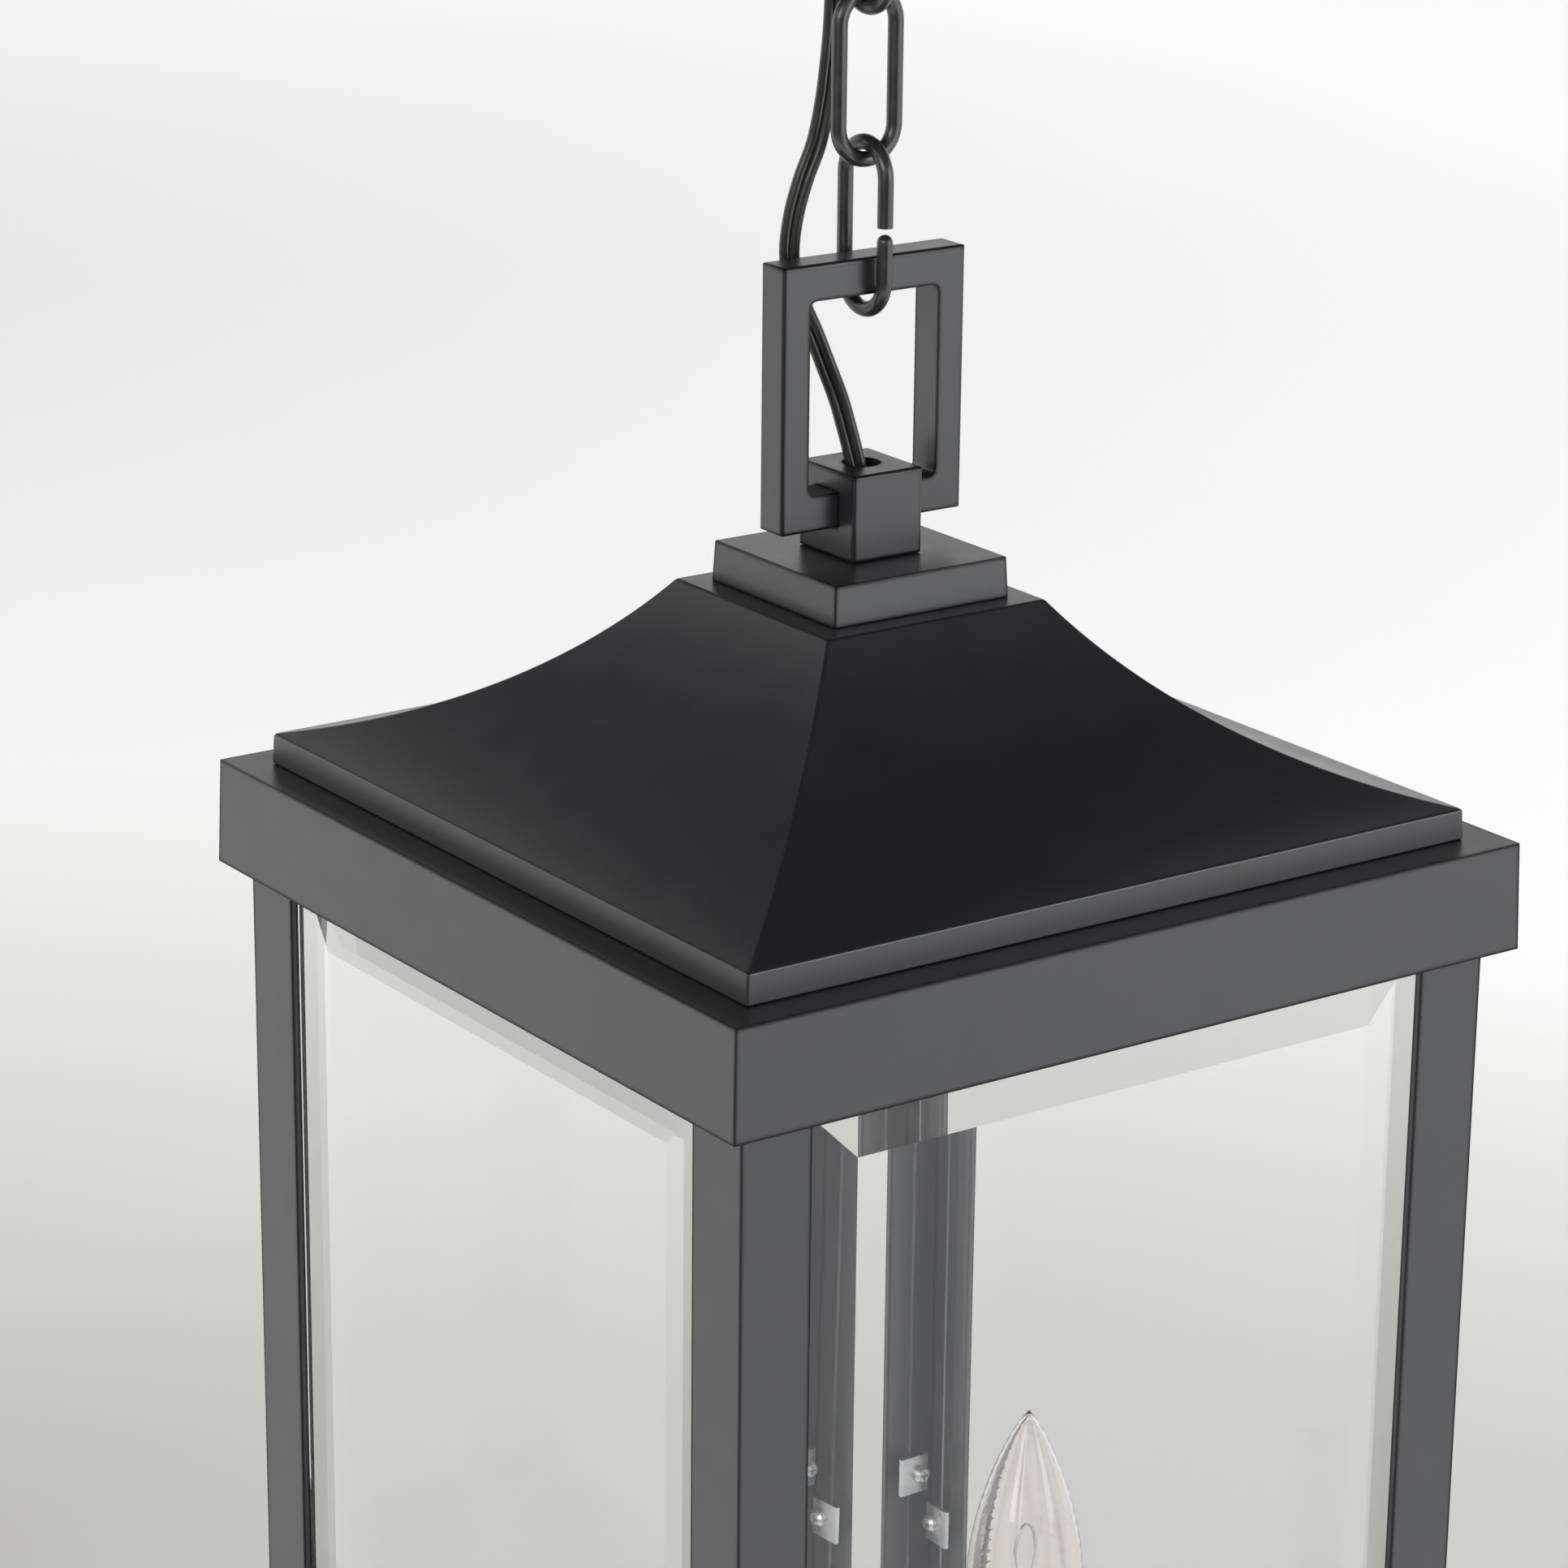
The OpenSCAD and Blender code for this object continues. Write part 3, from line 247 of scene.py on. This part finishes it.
class Finish:
    """A material made of procedural nodes, with every pattern laid out in metres on the object."""

    def __init__(self, name, colour, roughness, metallic=0.0, ior=1.5):
        self.material = bpy.data.materials.new(name)
        self.material.use_nodes = True
        self.nodes = self.material.node_tree.nodes
        self.links = self.material.node_tree.links
        self.shader = self.nodes["Principled BSDF"]
        self.shader.inputs["Base Color"].default_value = (*colour, 1)
        self.shader.inputs["Roughness"].default_value = roughness
        self.shader.inputs["Metallic"].default_value = metallic
        self.shader.inputs["IOR"].default_value = ior
        self.place = self.nodes.new("ShaderNodeTexCoord").outputs["Object"]
        self.normal = None

    def set(self, **values):
        for socket, value in values.items():
            self.shader.inputs[socket.replace("_", " ")].default_value = value
        return self

    def stretched(self, scale):
        """The place on the object, scaled along each axis."""
        mapping = self.nodes.new("ShaderNodeMapping")
        mapping.inputs["Scale"].default_value = scale
        self.links.new(self.place, mapping.inputs["Vector"])
        return mapping.outputs["Vector"]

    def noise(self, size, detail=2.0, stretch=(1, 1, 1)):
        """Noise whose blotches are about `size` metres across."""
        node = self.nodes.new("ShaderNodeTexNoise")
        node.inputs["Scale"].default_value = 1.0
        node.inputs["Detail"].default_value = detail
        scale = tuple(s / size for s in stretch)
        self.links.new(self.stretched(scale), node.inputs["Vector"])
        return node.outputs["Fac"]

    def remap(self, value, from_range, to_range):
        """The value, moved from one range to another and held inside it."""
        node = self.nodes.new("ShaderNodeMapRange")
        sockets = ("From Min", "From Max", "To Min", "To Max")
        for socket, number in zip(sockets, (*from_range, *to_range)):
            node.inputs[socket].default_value = number
        self.links.new(value, node.inputs["Value"])
        return node.outputs["Result"]

    def spread(self, value, low, high):
        """Noise, which lies around a half, spread out to run from low to high."""
        return self.remap(value, NOISE_RANGE, (low, high))

    def mix(self, share, first, second, blend="MIX"):
        """Two colours mixed by a share, where the first may be another node's output."""
        node = self.nodes.new("ShaderNodeMix")
        node.data_type = "RGBA"
        node.blend_type = blend
        node.inputs["B"].default_value = (*second, 1)
        if isinstance(first, tuple):
            node.inputs["A"].default_value = (*first, 1)
        else:
            self.links.new(first, node.inputs["A"])
        self.links.new(share, node.inputs["Factor"])
        return node.outputs["Result"]

    def vary_roughness(self, size, low, high, stretch=(1, 1, 1)):
        value = self.spread(self.noise(size, stretch=stretch), low, high)
        self.links.new(value, self.shader.inputs["Roughness"])
        return self

    def vary_colour(self, size, first, second, stretch=(1, 1, 1), detail=3.0):
        share = self.spread(self.noise(size, detail, stretch), 0, 1)
        self.links.new(self.mix(share, first, second), self.shader.inputs["Base Color"])
        return self

    def paint_edge_shade(self, reach, colour, shine):
        """Paints shade along the edges: thin lines of a darker colour and duller shine, which stand
        in for the dark reflections of rounded edges and the shade in concave ones.
        """
        rounded = self.nodes.new("ShaderNodeBevel")
        rounded.samples = 6
        rounded.inputs["Radius"].default_value = reach
        agree = self.nodes.new("ShaderNodeVectorMath")
        agree.operation = "DOT_PRODUCT"
        flat = self.nodes.new("ShaderNodeNewGeometry").outputs["Normal"]
        self.links.new(rounded.outputs["Normal"], agree.inputs[0])
        self.links.new(flat, agree.inputs[1])
        share = self.remap(agree.outputs["Value"], EDGE_SHADE_AGREE, (0, 1))
        base = self.shader.inputs["Base Color"]
        self.links.new(self.mix(share, base.links[0].from_socket, colour), base)
        level = self.shader.inputs["Specular IOR Level"]
        self.links.new(self.remap(share, (0, 1), (level.default_value, shine)), level)
        return self

    def paint_shade_patches(self, patches, glow):
        """A glow of the given colour, with painted shade in round soft-edged patches that are
        darker.
        """
        colour = glow
        for (x, y), radius, taken in patches:
            mapping = self.nodes.new("ShaderNodeMapping")
            mapping.inputs["Location"].default_value = (-x / radius, -y / radius, 0)
            mapping.inputs["Scale"].default_value = (1 / radius, 1 / radius, 0)
            patch = self.nodes.new("ShaderNodeTexGradient")
            patch.gradient_type = "SPHERICAL"
            self.links.new(self.place, mapping.inputs["Vector"])
            self.links.new(mapping.outputs["Vector"], patch.inputs["Vector"])
            left = tuple(1 - t for t in taken)
            colour = self.mix(patch.outputs["Fac"], colour, left, "MULTIPLY")
        self.links.new(colour, self.shader.inputs["Emission Color"])
        return self

    def bump(self, size, depth, strength=0.5, stretch=(1, 1, 1), detail=2.0):
        """Adds unevenness `depth` metres deep, on top of any that was added before."""
        node = self.nodes.new("ShaderNodeBump")
        node.inputs["Strength"].default_value = strength
        node.inputs["Distance"].default_value = depth
        self.links.new(self.noise(size, detail, stretch), node.inputs["Height"])
        if self.normal is not None:
            self.links.new(self.normal, node.inputs["Normal"])
        self.normal = node.outputs["Normal"]
        self.links.new(self.normal, self.shader.inputs["Normal"])
        return self


def satin_black(name="satin_black"):
    """Smooth black powder coat, with its faint orange peel."""
    finish = Finish(name, (0.016, 0.0165, 0.019), 0.33, ior=1.8)
    finish.vary_colour(0.03, (0.0145, 0.015, 0.0175), (0.0175, 0.018, 0.0205))
    finish.vary_roughness(0.012, 0.31, 0.35)
    return finish.bump(0.0022, 0.00012, 0.10).bump(0.0006, 0.00004, 0.08)


def edge_shaded_black():
    """The same coat with painted shade: dark, dull lines along its edges, where rounded edges would
    reflect the dark side of the room.
    """
    finish = satin_black("edge_shaded_black")
    finish.paint_edge_shade(EDGE_SHADE_BAND, EDGE_SHADE_COLOUR, EDGE_SHADE_SHINE)
    return finish


def chain_black():
    finish = Finish("chain_black", (0.018, 0.018, 0.02), 0.3, ior=1.8)
    finish.vary_colour(0.006, (0.015, 0.015, 0.017), (0.022, 0.022, 0.024))
    finish.vary_roughness(0.005, 0.24, 0.36)
    return finish.bump(0.0025, 0.0001, 0.04)


def zinc_plate():
    finish = Finish("zinc_plate", (0.62, 0.63, 0.64), 0.34, metallic=1.0)
    finish.vary_colour(0.004, (0.55, 0.57, 0.6), (0.7, 0.69, 0.66))
    finish.vary_roughness(0.002, 0.26, 0.42)
    return finish.bump(0.0009, 0.00004, 0.2)


def green_steel():
    finish = Finish("green_steel", (0.05, 0.28, 0.1), 0.35, metallic=0.6)
    finish.vary_colour(0.002, (0.04, 0.24, 0.09), (0.07, 0.33, 0.13))
    return finish.bump(0.0008, 0.00003, 0.2)


def clear_glass(name="clear_glass"):
    finish = Finish(name, (0.96, 0.96, 0.957), 0.0, ior=1.5)
    finish.vary_colour(0.12, (0.953, 0.953, 0.949), (0.967, 0.967, 0.965), stretch=(1, 1, 0.4))
    finish.set(Transmission_Weight=1.0)
    return finish.bump(0.09, 0.0002, 0.05, detail=0.0)


def bulb_glass():
    finish = Finish("bulb_glass", (0.99, 0.975, 0.94), 0.0, ior=1.45)
    finish.set(Transmission_Weight=1.0)
    return finish.bump(0.02, 0.0002, 0.04, detail=0.0)


def rubber():
    finish = Finish("black_rubber", (0.022, 0.022, 0.022), 0.75)
    finish.vary_roughness(0.003, 0.68, 0.82)
    return finish.bump(0.0005, 0.00005, 0.4)


def socket_plastic():
    finish = Finish("phenolic", (0.02, 0.018, 0.016), 0.38)
    finish.vary_colour(0.004, (0.015, 0.014, 0.013), (0.03, 0.026, 0.022))
    return finish.bump(0.0006, 0.00003, 0.3)


def candle_plastic():
    """An ivory sleeve with the soft upright drag marks of its extrusion."""
    finish = Finish("ivory_sleeve", (0.8, 0.74, 0.6), 0.42)
    finish.set(Subsurface_Weight=0.15, Subsurface_Scale=0.002)
    finish.vary_colour(0.006, (0.78, 0.72, 0.58), (0.84, 0.79, 0.66), stretch=(1, 1, 0.12))
    finish.vary_roughness(0.002, 0.36, 0.5, stretch=(1, 1, 0.1))
    return finish.bump(0.0012, 0.00005, 0.3, stretch=(1, 1, 0.06))


def brass():
    finish = Finish("brass_shell", (0.78, 0.55, 0.24), 0.26, metallic=1.0)
    finish.vary_colour(0.004, (0.7, 0.47, 0.19), (0.85, 0.63, 0.3))
    finish.vary_roughness(0.003, 0.18, 0.36)
    return finish.bump(0.0008, 0.00003, 0.3)


def connector_plastic():
    finish = Finish("orange_connector", (0.72, 0.19, 0.03), 0.4)
    finish.vary_colour(0.004, (0.66, 0.16, 0.025), (0.78, 0.23, 0.04))
    return finish.bump(0.0009, 0.00005, 0.3, stretch=(0.2, 1, 1))


def cord_sheath():
    """Extruded black vinyl, a little glossy, with fine marks along it."""
    finish = Finish("black_vinyl", (0.02, 0.019, 0.018), 0.3, ior=1.6)
    finish.vary_colour(0.004, (0.017, 0.016, 0.015), (0.026, 0.025, 0.023))
    finish.vary_roughness(0.004, 0.24, 0.38, stretch=(1, 1, 0.3))
    return finish.bump(0.0009, 0.00003, 0.1, stretch=(1, 1, 0.2))


FINISHES = {
    "frame_metal": satin_black(),
    "chain_metal": chain_black(),
    "plated_steel": zinc_plate(),
    "green_steel": green_steel(),
    "pane_glass": clear_glass(),
    "rubber": rubber(),
    "socket_plastic": socket_plastic(),
    "candle_plastic": candle_plastic(),
    "bulb_glass": bulb_glass(),
    "brass": brass(),
    "connector_plastic": connector_plastic(),
    "cord_sheath": cord_sheath(),
}


def paint(piece, slot):
    piece.data.materials.clear()
    piece.data.materials.append(FINISHES[slot].material)


for node in NODES.values():
    for held in node.material_slots:
        held.material = FINISHES[held.material.name.split(".")[0]].material
for cord in cords:
    paint(cord, "cord_sheath")
for pane in ("pane_front", "pane_rear", "pane_left", "pane_right"):
    NODES[pane].visible_shadow = False      # clear panes let the lamps shine in
# The far panes bend light less, so that their bevels don't trap it and turn dark
far_glass = clear_glass("far_glass").set(IOR=FAR_PANES_IOR)
for pane in ("pane_rear", "pane_right"):
    NODES[pane].material_slots[0].material = far_glass.material


# ---- Roof ---------------------------------------------------------------------------------------
ROOF_WALL = 0.002
BAND_H = 0.0081                       # the upright band under the eaves
BAND_DRAFT = 0.00035                  # how much wider the band is at its foot
ROOF_TOP_HALF = 0.03365               # half width of the flat under the cap
SLOPE_R = 0.131                       # radius of the concave slope
PIPE_HALF = 0.005                     # half width of the square hole for the pipe
BOSS_R = 0.0045                       # the screws' bosses under the eaves
BOSS_IN = 0.009                       # their distance in from the roof's edge
BOSS_LIFT = 0.001                     # and how far they stop above the band's foot
ROOF_ROUNDING = 0.0006
SLOPE_STEPS = 28


def slope_lines(foot, top):
    """The slope's outside and inside from foot to top, both given as (half width, height)."""
    foot, top = Vector(foot), Vector(top)
    chord = top - foot
    reach = math.sqrt(SLOPE_R**2 - (chord.length / 2) ** 2)
    centre = (foot + top) / 2 + reach * Vector((chord.y, -chord.x)).normalized()
    outer = []
    for k in range(SLOPE_STEPS + 1):
        towards = (foot.lerp(top, k / SLOPE_STEPS) - centre).normalized()
        outer.append(centre + SLOPE_R * towards)
    inner = [centre + (p - centre) * (1 + ROOF_WALL / SLOPE_R) for p in outer]
    inner = [p for p in inner if p.x < foot.x - ROOF_WALL and p.y < top.y - ROOF_WALL]
    return outer, inner


def square_sweep(bm, profile, sharp):
    """Sweeps a closed profile of (half width, height) around a square. The edges along its corners
    and those through its `sharp` points are marked for the bevel."""
    weight = bm.edges.layers.float.new("bevel_weight_edge")
    corners = [(1, 1), (-1, 1), (-1, -1), (1, -1)]
    rows = [[bm.verts.new((x * half, y * half, z)) for x, y in corners] for half, z in profile]
    for i, row in enumerate(rows):
        following = rows[(i + 1) % len(rows)]
        for k in range(4):
            face = bm.faces.new((row[k], following[k], following[(k + 1) % 4], row[(k + 1) % 4]))
            face.smooth = True
            bm.edges.get((row[k], following[k]))[weight] = 1
            if i in sharp:
                bm.edges.get((row[k], row[(k + 1) % 4]))[weight] = 1


def add_roof():
    low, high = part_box("roof_shell")
    foot_half = high.x
    eaves_half = foot_half - BAND_DRAFT
    eaves_z = low.z + BAND_H
    outer, inner = slope_lines((eaves_half, eaves_z), (ROOF_TOP_HALF, high.z))
    profile = (
        [(foot_half, low.z)] + [tuple(p) for p in outer] + [(PIPE_HALF, high.z)]
        + [(PIPE_HALF, high.z - ROOF_WALL)] + [tuple(p) for p in reversed(inner)]
        + [(eaves_half - ROOF_WALL, low.z)]
    )
    count = len(profile)
    top = SLOPE_STEPS + 1               # the upper end of the outer slope
    sharp = {0, 1, *range(top, top + 4), count - 2, count - 1}
    bm = bmesh.new()
    square_sweep(bm, profile, sharp)
    boss_h = BAND_H - BOSS_LIFT
    boss_at = eaves_half - BOSS_IN
    for x, y in ((1, 0), (0, 1), (-1, 0), (0, -1)):
        middle = (x * boss_at, y * boss_at, low.z + BOSS_LIFT + boss_h / 2)
        bmesh.ops.create_cone(
            bm, cap_ends=True, segments=32, radius1=BOSS_R, radius2=BOSS_R,
            depth=boss_h, matrix=Matrix.Translation(middle),
        )
    bmesh.ops.recalc_face_normals(bm, faces=bm.faces)
    roof = mesh_object("roof_casting", bm)
    bevel = roof.modifiers.new("bevel", "BEVEL")
    bevel.limit_method = "WEIGHT"
    bevel.width = ROOF_ROUNDING
    bevel.segments = 3
    bevel.harden_normals = True
    paint(roof, "frame_metal")
    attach(roof, "lantern")
    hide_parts("roof_shell")


add_roof()


# ---- Bulbs' inner parts -------------------------------------------------------------------------
# The glass stem, as (radius, height above the bulb's foot)
STEM = [(0.0042, 0.006), (0.0030, 0.014), (0.0024, 0.022), (0.0022, 0.028), (0.0010, 0.030)]
STEM_SIDES = 20
# A lead from the stem's top to the filament, as (distance to the side, height)
LEAD = [(0.0012, 0.028), (0.0022, 0.033), (0.0034, 0.040)]
LEAD_R = 0.00028
FILAMENT_R = 0.00045
FILAMENT_RISE = 0.008                 # how far it arches above the leads
FILAMENT_STEPS = 20
AHEAD = Vector((0, 1, 0))


def round_rings(line, radii, detail=10):
    """Circles around a line, with a radius for each of its points."""
    turns = [2 * math.pi * k / detail for k in range(detail)]
    return [
        [point + (across * math.cos(a) + other * math.sin(a)) * radius for a in turns]
        for (point, across, other), radius in zip(stations(line, AHEAD), radii)
    ]


def inner_part(name, rings, slot):
    piece = tube_mesh(name, rings)
    paint(piece, slot)
    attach(piece, "lantern")


def add_wire(name, line, radius):
    inner_part(name, round_rings(line, [radius] * len(line)), "plated_steel")


def add_bulb_inside(number):
    low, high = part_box(f"bulb_{number}")
    foot = Vector(((low.x + high.x) / 2, (low.y + high.y) / 2, low.z))
    stem = [foot + Vector((0, 0, rise)) for radius, rise in STEM]
    stem_rings = round_rings(stem, [radius for radius, rise in STEM], STEM_SIDES)
    inner_part(f"bulb_stem_{number}", stem_rings, "bulb_glass")
    for side, label in ((-1, "left"), (1, "right")):
        lead = [foot + Vector((side * aside, 0, rise)) for aside, rise in LEAD]
        add_wire(f"bulb_lead_{label}_{number}", smooth_line(lead), LEAD_R)
    aside, rise = LEAD[-1]
    turns = [math.pi * k / FILAMENT_STEPS for k in range(FILAMENT_STEPS + 1)]
    filament = [
        foot + Vector((aside * math.cos(a), 0, rise + FILAMENT_RISE * math.sin(a))) for a in turns
    ]
    add_wire(f"bulb_filament_{number}", filament, FILAMENT_R)


for number in (1, 2, 3):
    add_bulb_inside(number)


# ---- Rounded edges ------------------------------------------------------------------------------
# How far the coating rounds the sharp edges of each flat-sided piece
EDGE_ROUNDING = {
    "cap_block": 0.0003, "collar_frame": 0.0003, "base_frame": 0.0003,
    "post_front_left": 0.0003, "post_front_right": 0.0003,
    "post_rear_left": 0.0003, "post_rear_right": 0.0003,
    "hanging_loop": 0.0004, "hanger_block": 0.0004,
}
SAME_PLANE = math.radians(0.3)        # faces this close in angle are joined
SHARP = math.radians(35)              # edges sharper than this are rounded


def round_edges(obj, width):
    weld = obj.modifiers.new("weld", "WELD")
    weld.merge_threshold = 1e-6
    flatten = obj.modifiers.new("flatten", "DECIMATE")
    flatten.decimate_type = "DISSOLVE"
    flatten.angle_limit = SAME_PLANE
    bevel = obj.modifiers.new("bevel", "BEVEL")
    bevel.width = width
    bevel.segments = 3
    bevel.limit_method = "ANGLE"
    bevel.angle_limit = SHARP
    bevel.use_clamp_overlap = True
    bevel.harden_normals = True


# The flat-sided pieces get the coat with painted shade: dark lines along their rounded edges
edge_shade_coat = edge_shaded_black().material
for node, width in EDGE_ROUNDING.items():
    round_edges(NODES[node], width)
    NODES[node].material_slots[0].material = edge_shade_coat


# ---- Floor and light ----------------------------------------------------------------------------
FLOOR_DROP = 0.55                     # the floor's distance under the lantern
FLOOR_R = 14.0
FLOOR_GLOW = (0.75, 0.75, 0.745)
# Painted shade on the floor, in soft darker patches: middle, radius, and the share of the glow that
# each takes away
FLOOR_PAINTED_SHADES = [
    ((0.3, 1.5), 1.55, (0.68, 0.68, 0.745)),
    ((1.25, 0.75), 1.2, (0.44, 0.445, 0.47)),
    ((1.2, 5.0), 3.2, (0.30, 0.30, 0.295)),
    ((1.15, -1.7), 1.4, (0.55, 0.54, 0.50)),
]
FLAG_R = 1.7                          # the dark cloth round the camera's side of the studio
FLAG_SPAN = (-115, 5)                 # degrees from the front, towards the right
FLAG_LIFT = 0.01                      # its lower edge's height above the floor
FLAG_TOP = 0.3                        # and its upper edge's height above the ceiling
FLAG_STEPS = 24
# The world is bright in directions that rise less than the first, and dim past the second
DIM_FROM, DIM_TO = 0.30, 0.55
DIM = (0.04, 0.04, 0.048)
LIT_POINT = (0, 0, -0.35)             # where both lamps aim


def add_floor():
    finish = Finish("floor", (0.86, 0.86, 0.85), 0.9)
    # The floor's glow, with painted shade in soft patches
    finish.paint_shade_patches(FLOOR_PAINTED_SHADES, FLOOR_GLOW)
    finish.vary_colour(0.8, (0.84, 0.84, 0.835), (0.88, 0.88, 0.87))
    finish.set(Emission_Strength=1.0)
    bm = bmesh.new()
    bmesh.ops.create_circle(bm, cap_ends=True, segments=96, radius=FLOOR_R)
    floor = mesh_object("floor", bm)
    floor.location.z = floor_z
    floor.data.materials.append(finish.material)


def add_flag():
    """A dark cloth that only reflections see: rounded corners that face the camera stay black."""
    finish = Finish("black_cloth", (0.01, 0.01, 0.01), 0.9).bump(0.01, 0.001)
    bm = bmesh.new()
    first, last = FLAG_SPAN
    columns = []
    for k in range(FLAG_STEPS + 1):
        angle = math.radians(first + (last - first) * k / FLAG_STEPS)
        x, y = FLAG_R * math.sin(angle), -FLAG_R * math.cos(angle)
        columns.append([bm.verts.new((x, y, z)) for z in (floor_z + FLAG_LIFT, FLAG_TOP)])
    for left, right in zip(columns, columns[1:]):
        bm.faces.new((left[0], right[0], right[1], left[1]))
    flag = mesh_object("black_cloth", bm)
    flag.data.materials.append(finish.material)
    flag.visible_camera = False
    flag.visible_shadow = False
    flag.visible_diffuse = False
    flag.visible_transmission = False


def add_world():
    """Bright all round at the height of the lantern and dim overhead, as in a wide tent."""
    world = bpy.data.worlds.new("studio")
    world.use_nodes = True
    nodes, links = world.node_tree.nodes, world.node_tree.links
    direction = nodes.new("ShaderNodeTexCoord").outputs["Generated"]
    split = nodes.new("ShaderNodeSeparateXYZ")
    ramp = nodes.new("ShaderNodeValToRGB")
    ramp.color_ramp.interpolation = "EASE"
    low, high = ramp.color_ramp.elements
    low.position, low.color = DIM_FROM, (1, 1, 1, 1)
    high.position, high.color = DIM_TO, (*DIM, 1)
    links.new(direction, split.inputs["Vector"])
    links.new(split.outputs["Z"], ramp.inputs["Fac"])
    links.new(ramp.outputs["Color"], nodes["Background"].inputs["Color"])
    bpy.context.scene.world = world


def add_lamp(name, place, size, power, colour):
    """A soft rectangular lamp, aimed at the middle of the lantern."""
    data = bpy.data.lights.new(name, "AREA")
    data.shape = "RECTANGLE"
    data.size, data.size_y = size
    data.energy = power
    data.color = colour
    light = bpy.data.objects.new(name, data)
    bpy.context.scene.collection.objects.link(light)
    light.location = place
    light.rotation_euler = (Vector(LIT_POINT) - Vector(place)).to_track_quat("-Z", "Y").to_euler()


floor_z = cad_bounds[0][2] - FLOOR_DROP
add_floor()
add_flag()
add_world()
add_lamp("key", (-2.6, -1.2, 0.5), (1.6, 1.8), 30, (1, 0.99, 0.97))
add_lamp("fill", (1.6, -2.6, 0.2), (1.6, 1.6), 18, (0.94, 0.96, 1))

bpy.context.scene.view_settings.view_transform = "Standard"
